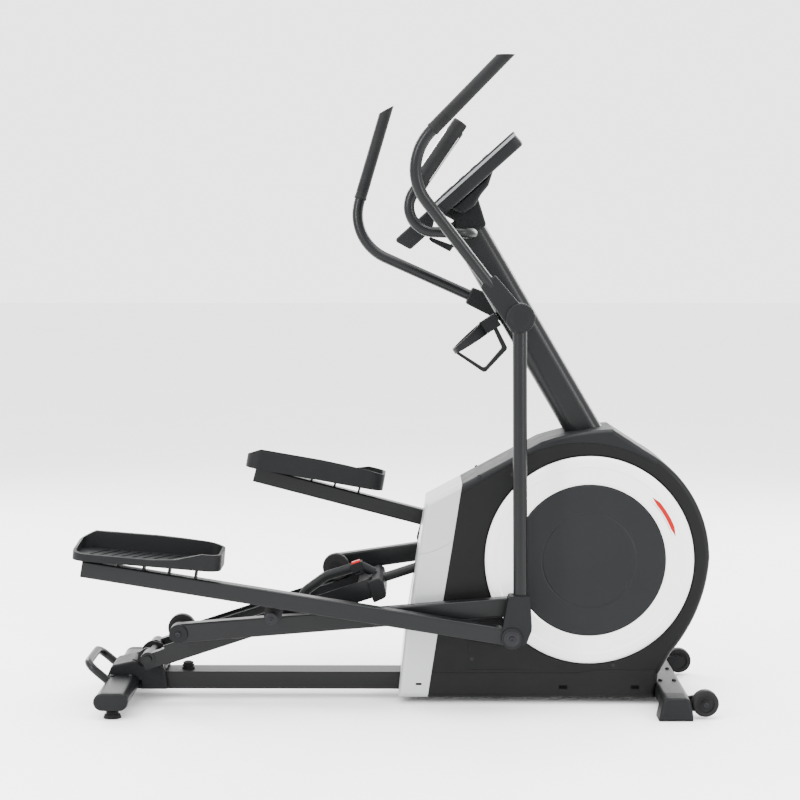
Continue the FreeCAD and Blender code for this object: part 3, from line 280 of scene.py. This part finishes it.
CHARCOAL = (0.0030, 0.0033, 0.0037)
M = {
    "tube": powder_coat("tube_paint", CHARCOAL, 0.33),
    "rail": powder_coat("rail_paint", (0.0034, 0.0036, 0.0038), 0.40),
    "primer": powder_coat("frame_primer", (0.005, 0.005, 0.0055), 0.5),
    "cover": moulded("cover_plastic", (0.0034, 0.0038, 0.0042), 0.50),
    "shroud": moulded("shroud_plastic", (0.0018, 0.0019, 0.0020), 0.44, 1300.0, 0.26),
    "base": moulded("base_plastic", (0.0024, 0.0025, 0.0026), 0.50),
    "top": moulded("top_plastic", (0.0038, 0.0043, 0.0048), 0.44),
    "pedal": moulded("pedal_plastic", (0.0036, 0.0039, 0.0043), 0.55, 800.0, 0.5),
    "console": moulded("console_plastic", (0.0042, 0.0047, 0.0053), 0.42),
    "silver": glossy("silver_panel", (0.29, 0.294, 0.30), 0.33, 0.30, 0.32, 0.35),
    "ring": glossy("white_ring", (0.66, 0.665, 0.655), 0.30, 0.0, 0.0, 0.45),
    "core": disc_face("disc_charcoal", (0.0040, 0.0045, 0.0053), CRANK),
    "bezel": weave("bezel_film", (0.006, 0.006, 0.007), (0.012, 0.012, 0.014)),
    "screen": display("display_window", (0.006, 0.009, 0.009)),
    "grip": rubber("grip_foam", (0.0034, 0.0036, 0.0039), 0.62),
    "wheel": rubber("wheel_rubber", (0.0040, 0.0040, 0.0042), 0.6),
    "foot": rubber("foot_rubber", (0.0035, 0.0035, 0.0035), 0.75),
    "belt": rubber("belt_rubber", (0.004, 0.004, 0.004), 0.7, 180.0, "Y"),
    "steel": metal("turned_steel", (0.52, 0.52, 0.53), 0.28),
    "contact": metal("contact_steel", (0.62, 0.62, 0.63), 0.26, (40, 1, 40)),
    "screw": metal("screw_steel", (0.022, 0.022, 0.024), 0.42),
    "flywheel": metal("flywheel_iron", (0.30, 0.30, 0.31), 0.34, centre=FLYWHEEL),
    "alloy": metal("pulley_alloy", (0.45, 0.46, 0.48), 0.36, centre=CRANK),
    "red": glossy("red_button", (0.26, 0.001, 0.001), 0.28, 0.0, 0.0, 0.05, 0.12),
    "mark": glossy("red_stripe", (0.26, 0.001, 0.001), 0.35, 0.0, 0.0, 0.0, 0.1),
    "grey_mark": glossy("grey_stripe", (0.22, 0.225, 0.23), 0.4, 0.0, 0.0, 0.2),
    "trim": glossy("light_trim", (0.14, 0.143, 0.147), 0.26, 0.2, 0.3, 0.4),
    "lcd": glossy("display_segment", (0.20, 0.27, 0.24), 0.3, 0.0, 0.0, 0.3),
    "key": moulded("key_plastic", (0.050, 0.053, 0.058), 0.45, 1500.0, 0.2),
    "key_red": moulded("key_red", (0.40, 0.020, 0.016), 0.42, 1500.0, 0.2),
    "key_green": moulded("key_green", (0.020, 0.20, 0.06), 0.42, 1500.0, 0.2),
}

USE = {
    "tube": "rear_stabilizer rear_handle mast swing_axle pulse_bar leg handle pedal_arm roller_arm"
            " ramp_rails ramp_feet ramp_lips",
    "rail": "main_rail front_stabilizer",
    "primer": "drive_frame",
    "cover": "rear_end_caps hinge_cover front_boots leg_bracket leg_hub ramp_collar ramp_hoop bottle_holder"
             " console_neck power_inlet roller_axle",
    "shroud": "shroud",
    "base": "base_cover",
    "top": "top_cover",
    "pedal": "pedal",
    "console": "console_back console_tray",
    "silver": "rear_panel rear_panel_lower",
    "ring": "disc_rings",
    "core": "disc_cores",
    "bezel": "console_face",
    "screen": "console_screen",
    "grip": "grip pulse_grips",
    "wheel": "roller transport_wheel",
    "foot": "levelling_foot",
    "belt": "drive_belt",
    "steel": "crank_axle",
    "contact": "pulse_contacts",
    "flywheel": "flywheel",
    "alloy": "drive_pulley",
    "red": "ramp_latch",
}


def plain_name(node):
    for side in ("_right", "_left"):
        if node.endswith(side):
            return node[: -len(side)]
    return node


def dress(node):
    look = {n: key for key, names in USE.items() for n in names.split()}
    for slot in NODES[node].material_slots:
        slot.material = M[look[plain_name(node)]]


for node_name in NODES:
    dress(node_name)


# ------------------------------------------------------------- mesh helpers
def piece(name, bm, mat, body, smooth=True):
    """Turn a bmesh into a piece that rides on a body."""
    bmesh.ops.remove_doubles(bm, verts=bm.verts, dist=1e-6)
    bmesh.ops.recalc_face_normals(bm, faces=bm.faces)
    mesh = bpy.data.meshes.new(name)
    bm.to_mesh(mesh)
    bm.free()
    obj = bpy.data.objects.new(name, mesh)
    bpy.context.scene.collection.objects.link(obj)
    mesh.materials.append(M[mat])
    for poly in mesh.polygons:
        poly.use_smooth = smooth
    if smooth:
        mesh.set_sharp_from_angle(angle=math.radians(34))
    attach(obj, body)
    return obj


def bridge(bm, loops):
    """Quads between neighbouring closed loops of equal length."""
    for low, high in zip(loops, loops[1:]):
        count = len(low)
        for i in range(count):
            j = (i + 1) % count
            bm.faces.new((low[i], low[j], high[j], high[i]))


def capped(bm, loops):
    """A closed skin over the loops."""
    bridge(bm, loops)
    bm.faces.new(loops[0])
    bm.faces.new(loops[-1])


def hex_scale(angle):
    """How far a hexagon's side lies inside its corner circle at an angle."""
    step = math.radians(60)
    return math.cos(step / 2) / math.cos((angle % step) - step / 2)


def lathe(bm, profile, centre, axis, count=40, hexes=()):
    """Turned form: profile of (radius, height), rings in hexes are six-sided."""
    to_axis = Vector((0, 0, 1)).rotation_difference(Vector(axis)).to_matrix().to_4x4()
    place = Matrix.Translation(Vector(centre)) @ to_axis
    rings = []
    for k, (radius, height) in enumerate(profile):
        ring = []
        for i in range(count):
            a = 2 * math.pi * i / count
            r = radius / math.cos(math.radians(30)) * hex_scale(a) if k in hexes else radius
            spot = Vector((r * math.cos(a) * MM, r * math.sin(a) * MM, height * MM))
            ring.append(bm.verts.new(place @ spot))
        rings.append(ring)
    capped(bm, rings)


def socket_screw(bm, centre, axis, radius, tall):
    """Domed cap screw with a hexagon socket."""
    r = radius
    profile = [(r * 0.98, -0.6), (r, 0.0), (r, tall * 0.55), (r * 0.90, tall * 0.88), (r * 0.72, tall),
               (r * 0.50, tall), (r * 0.46, tall * 0.85), (r * 0.46, tall * 0.2), (r * 0.1, tall * 0.1)]
    lathe(bm, profile, centre, axis, 36, hexes=(5, 6, 7))


def cap_disc(bm, centre, axis, radius, tall):
    """Round push-in cap with a rim and a shallow dished middle."""
    r = radius
    profile = [(r * 0.99, -0.6), (r, 0.0), (r, tall * 0.6), (r * 0.95, tall), (r * 0.80, tall),
               (r * 0.76, tall * 0.55), (r * 0.4, tall * 0.45), (r * 0.05, tall * 0.5)]
    lathe(bm, profile, centre, axis, 56)


def cross_screw(bm, centre, axis, radius):
    """Countersunk head with a round rim and a small driver recess."""
    r = radius
    profile = [(r * 1.15, -0.4), (r * 1.2, 0.15), (r * 1.05, 0.3), (r, -0.1), (r * 0.9, 0.35),
               (r * 0.5, 0.6), (r * 0.28, 0.6), (r * 0.24, -0.6), (r * 0.05, -0.7)]
    lathe(bm, profile, centre, axis, 28, hexes=(6, 7))


def rounded_pad(bm, place, size, radius, tall, lip=0.6, corner_steps=5):
    """Low rounded button or plate: size across, corner radius, height; mm."""
    half = (size[0] / 2.0, size[1] / 2.0)

    def loop(inset, height):
        pts = []
        r = max(0.2, radius - inset)
        for cx, cy, start in ((1, 1, 0), (-1, 1, 90), (-1, -1, 180), (1, -1, 270)):
            ox = cx * (half[0] - inset - r)
            oy = cy * (half[1] - inset - r)
            for k in range(corner_steps + 1):
                a = math.radians(start + 90.0 * k / corner_steps)
                spot = Vector((ox + r * math.cos(a), oy + r * math.sin(a), height)) * MM
                pts.append(bm.verts.new(place @ spot))
        return pts

    capped(bm, [loop(0, -0.8), loop(0, tall - lip), loop(lip * 0.3, tall - lip * 0.3), loop(lip, tall)])


def turn(x, z, degrees):
    a = math.radians(degrees)
    return (x * math.cos(a) - z * math.sin(a), x * math.sin(a) + z * math.cos(a))


# ------------------------------------------------- small visible fittings
def leg_pin(side):
    x, z = turn(814.5, 0, -91.23 + (SWING if side == "left" else 0))
    return (PIVOT[0] + x, PIVOT[1] + z)


def mid_pin(side):
    px, pz = leg_pin(side)
    x, z = turn(-612.0, -49.6, ARM_SLOPE[side])
    return (px + x, pz + z)


def roller_spot(side):
    mx, mz = mid_pin(side)
    x, z = turn(246.6, 30.4, ROLLER_SLOPE[side])
    return (mx - x, mz - z)


def at(xz, y):
    return (xz[0] * MM, y * MM, xz[1] * MM)


for side, sign in SIGN.items():
    out = (0, sign, 0)
    swing_body = "swing_arm_" + side
    bm = bmesh.new()
    cap_disc(bm, at(PIVOT, sign * 251), out, 33, 1.6)
    piece("hub_cap_" + side, bm, "cover", swing_body)
    bm = bmesh.new()
    cap_disc(bm, at(leg_pin(side), sign * 248), out, 20, 1.4)
    socket_screw(bm, at(leg_pin(side), sign * 248.4), out, 7.5, 4.5)
    piece("bracket_bolt_" + side, bm, "screw", swing_body)
    bm = bmesh.new()
    cap_disc(bm, at(mid_pin(side), sign * 236), out, 15, 1.2)
    socket_screw(bm, at(mid_pin(side), sign * 236.6), out, 6.0, 3.6)
    piece("mid_bolt_" + side, bm, "screw", "foot_arm_" + side)
    bm = bmesh.new()
    socket_screw(bm, at(roller_spot(side), sign * 182), out, 7.0, 4.2)
    piece("roller_bolt_" + side, bm, "screw", "carriage_" + side)
    bm = bmesh.new()
    socket_screw(bm, (0.7845, sign * 0.273, 0.040), out, 6.0, 3.4)
    piece("wheel_bolt_" + side, bm, "screw", "frame")
    bm = bmesh.new()
    for x, z in ((197, 121), (214, 600), (300, 606), (566, 104), (690, 190)):
        cross_screw(bm, at((x, z), sign * CASING_SIDE), out, 4.2)
    piece("casing_screws_" + side, bm, "screw", "frame")


def arm_spot(side, x, y, z):
    """Point given on the right arm, carried over to the arm on this side."""
    if side == "right":
        return Vector((x * MM, y * MM, z * MM))
    dx, dz = turn(x - PIVOT[0], z - PIVOT[1], SWING)
    return Vector(((PIVOT[0] + dx) * MM, -y * MM, (PIVOT[1] + dz) * MM))


for side in SIGN:
    low = arm_spot(side, 91.6, -289.6, 1483.6)
    high = arm_spot(side, 280.3, -302.0, 1675.0)
    axis = (high - low).normalized()
    bm = bmesh.new()
    collar = [(15.3, -3.5), (16.8, -3.0), (17.4, -1.0), (17.4, 3.0), (16.9, 4.5), (16.4, 5.0)]
    lathe(bm, collar, low, axis, 48)
    for k in range(9):
        spot = low + axis * (0.020 + 0.0035 * k)
        lathe(bm, [(16.3, -1.0), (16.95, -0.6), (16.95, 0.6), (16.3, 1.0)], spot, axis, 48)
    piece("grip_collar_" + side, bm, "grip", "swing_arm_" + side)


# ---------------------------------------------------------------- console
TILT = math.radians(CONSOLE_TILT)
CONSOLE = Matrix(((math.cos(TILT), 0, -math.sin(TILT), CONSOLE_EDGE[0] * MM), (0, 1, 0, 0),
                  (math.sin(TILT), 0, math.cos(TILT), CONSOLE_EDGE[1] * MM), (0, 0, 0, 1)))


def on_console(x, y, z):
    return CONSOLE @ Matrix.Translation(Vector((x, y, z)) * MM)


def console_keys():
    bm = bmesh.new()
    for y in (-140, 140):
        for x in (70, 110, 150, 190):
            rounded_pad(bm, on_console(x, y, 0), (17.6, 17.6), 8.8, 1.3)
    for y in (-84, -42, 42, 84):
        rounded_pad(bm, on_console(52, y, 0), (21.6, 21.6), 10.8, 1.4)
    piece("console_keys", bm, "key", "frame")
    for y, mat, name in ((-14, "key_green", "key_start"), (14, "key_red", "key_stop")):
        bm = bmesh.new()
        rounded_pad(bm, on_console(52, y, 0), (20, 24), 6, 1.6)
        piece(name, bm, mat, "frame")


def console_segments():
    """Generic display content: an oval lap track, a bar graph and blocks."""
    bm = bmesh.new()
    z = -1.5
    for k in range(28):
        a = 2 * math.pi * k / 28
        x = 205 + 34 * math.sin(a)
        y = -62 + 40 * math.cos(a)
        rounded_pad(bm, on_console(x, y, z), (4.6, 4.6), 1.0, 0.35, 0.1, 2)
    for col in range(12):
        rows = 2 + int(3 + 3 * math.sin(col * 0.75))
        for row in range(rows):
            rounded_pad(bm, on_console(176 + 7 * row, 14 + 8 * col, z), (5, 6), 0.8, 0.35, 0.1, 2)
    for col in range(4):
        for seg in range(3):
            rounded_pad(bm, on_console(116 + 11 * seg, -90 + 58 * col, z), (2.2, 26), 0.8, 0.35, 0.1, 2)
        for edge in (-13.5, 13.5):
            rounded_pad(bm, on_console(127, -90 + 58 * col + edge, z), (17, 2.2), 0.8, 0.35, 0.1, 2)
    piece("display_segments", bm, "lcd", "frame")


def slot_row(bm, xs, ys, size):
    for x in xs:
        for y in ys:
            rounded_pad(bm, on_console(x, y, 0), size, 1.2, 0.5, 0.2, 3)


def console_grilles():
    bm = bmesh.new()
    slot_row(bm, [18 + 5.0 * k for k in range(4)], (-122, 122), (2.6, 46))
    slot_row(bm, [272, 278], (-60, 60), (2.2, 60))
    piece("speaker_ribs", bm, "console", "frame")


def console_edge():
    """Light band round the joint between the face and its back."""
    bm = bmesh.new()
    corner = 26.0
    x1 = CONSOLE_SIZE[0] - corner
    y1 = CONSOLE_SIZE[1] / 2.0 - corner
    loops = []
    for outset, z in ((-1.0, -5.2), (0.7, -5.2), (0.9, -7.0), (0.9, -10.0), (0.7, -11.8), (-1.0, -11.8)):
        pts = []
        r = corner + outset
        for cx, cy, start in ((x1, y1, 0), (corner, y1, 90), (corner, -y1, 180), (x1, -y1, 270)):
            for k in range(9):
                a = math.radians(start + 90.0 * k / 8)
                spot = Vector((cx + r * math.cos(a), cy + r * math.sin(a), z)) * MM
                pts.append(bm.verts.new(CONSOLE @ spot))
        loops.append(pts)
    bridge(bm, loops + loops[:1])
    piece("console_edge_trim", bm, "trim", "frame")


console_keys()
console_segments()
console_grilles()
console_edge()


# ------------------------------------------------------ stripes on the discs
def arc_band(bm, y, r0, r1, start, end, steps, raise_by):
    """Flat curved band on a disc face, with pointed ends."""
    cx, cz = CRANK
    rows = []
    for k in range(steps + 1):
        t = k / steps
        a = math.radians(start + (end - start) * t)
        taper = min(1.0, 5.0 * t, 5.0 * (1.0 - t)) * 0.96 + 0.04
        mid = (r0 + r1) / 2.0
        half = (r1 - r0) / 2.0 * taper
        row = []
        for r, dy in ((mid - half, 0), (mid + half, 0), (mid + half, raise_by), (mid - half, raise_by)):
            spot = Vector((cx + r * math.cos(a), y + dy, cz + r * math.sin(a))) * MM
            row.append(bm.verts.new(spot))
        rows.append(row)
    capped(bm, rows)


for side, sign in SIGN.items():
    bm = bmesh.new()
    arc_band(bm, sign * DISC_SIDE, 225.0, 236.0, 16, 46, 40, sign * 0.32)
    piece("ring_stripe_" + side, bm, "mark", "crank")
    bm = bmesh.new()
    arc_band(bm, sign * DISC_SIDE, 221.0, 222.8, 16, 46, 40, sign * 0.3)
    piece("ring_pinstripe_" + side, bm, "grey_mark", "crank")


# ------------------------------------------------------- base fittings
def rail_bumper():
    bm = bmesh.new()
    profile = [(17, -0.5), (17, 3), (13, 4), (13, 7), (16, 8), (16, 11), (12, 12), (12, 14),
               (14, 15), (14, 17), (9, 19.5), (1, 20)]
    lathe(bm, profile, (-0.556, 0.0, 0.0715), (0, 0, 1), 40)
    piece("ramp_bumper", bm, "foot", "frame")


def rail_bolts():
    bm = bmesh.new()
    for y in (-1, 1):
        for x in (-748, -700):
            socket_screw(bm, (x * MM, y * 0.080, 0.0680), (0, 0, 1), 6.0, 4.0)
        for x in (694, 730):
            socket_screw(bm, (x * MM, y * 0.070, 0.0560), (0, 0, 1), 6.0, 4.0)
    piece("stabilizer_bolts", bm, "screw", "frame")


rail_bumper()
rail_bolts()


# ------------------------------------------------------------ stage
def floor():
    s = Shade("studio_floor")
    tone = s.span(s.noise(0.8, 3.0), 0.3, 0.7, 0.0, 1.0)
    s.link(s.mix(tone, (0.86, 0.86, 0.86), (0.88, 0.88, 0.88)), s.bsdf.inputs["Base Color"])
    s.link(s.span(s.noise(3.0, 4.0), 0.3, 0.7, 0.5, 0.6), s.bsdf.inputs["Roughness"])
    s.bump(s.noise(60.0, 3.0), 0.02, 0.0005)
    bm = bmesh.new()
    bmesh.ops.create_grid(bm, x_segments=8, y_segments=8, size=30.0)
    mesh = bpy.data.meshes.new("studio_floor")
    bm.to_mesh(mesh)
    bm.free()
    mesh.materials.append(s.mat)
    obj = bpy.data.objects.new("studio_floor", mesh)
    bpy.context.scene.collection.objects.link(obj)


def area(name, spot, target, size, power, size_y):
    """Rectangular lamp at a spot, turned to face a target; metres and watts."""
    data = bpy.data.lights.new(name, "AREA")
    data.shape = "RECTANGLE"
    data.size = size
    data.size_y = size_y
    data.energy = power
    obj = bpy.data.objects.new(name, data)
    bpy.context.scene.collection.objects.link(obj)
    obj.location = spot
    obj.rotation_euler = (Vector(target) - Vector(spot)).to_track_quat("-Z", "Y").to_euler()


def studio():
    area("overhead", (0.0, -0.4, 4.2), (0, 0, 0.4), 4.5, 380, 3.0)
    area("key_left", (-3.2, -3.6, 2.6), (0, 0, 0.8), 0.9, 260, 2.4)
    area("fill_right", (3.6, -3.0, 1.8), (0.2, 0, 0.7), 0.9, 150, 2.4)
    area("back_left", (-2.6, 3.2, 2.6), (0, 0, 0.8), 1.1, 220, 2.2)
    area("back_right", (2.8, 3.0, 2.4), (0.2, 0, 0.7), 1.1, 180, 2.2)
    world = bpy.data.worlds.new("studio_world")
    world.use_nodes = True
    back = world.node_tree.nodes["Background"]
    back.inputs["Color"].default_value = (1.0, 1.0, 1.0, 1)
    back.inputs["Strength"].default_value = 3.2
    bpy.context.scene.world = world


def camera():
    data = bpy.data.cameras.new("photo_camera")
    data.lens = 88.8
    data.sensor_width = 36.0
    obj = bpy.data.objects.new("photo_camera", data)
    bpy.context.scene.collection.objects.link(obj)
    obj.location = (0.040, -5.185, 1.226)
    obj.rotation_euler = (math.radians(85.193), 0.0, math.radians(0.347))
    bpy.context.scene.camera = obj


floor()
studio()
camera()
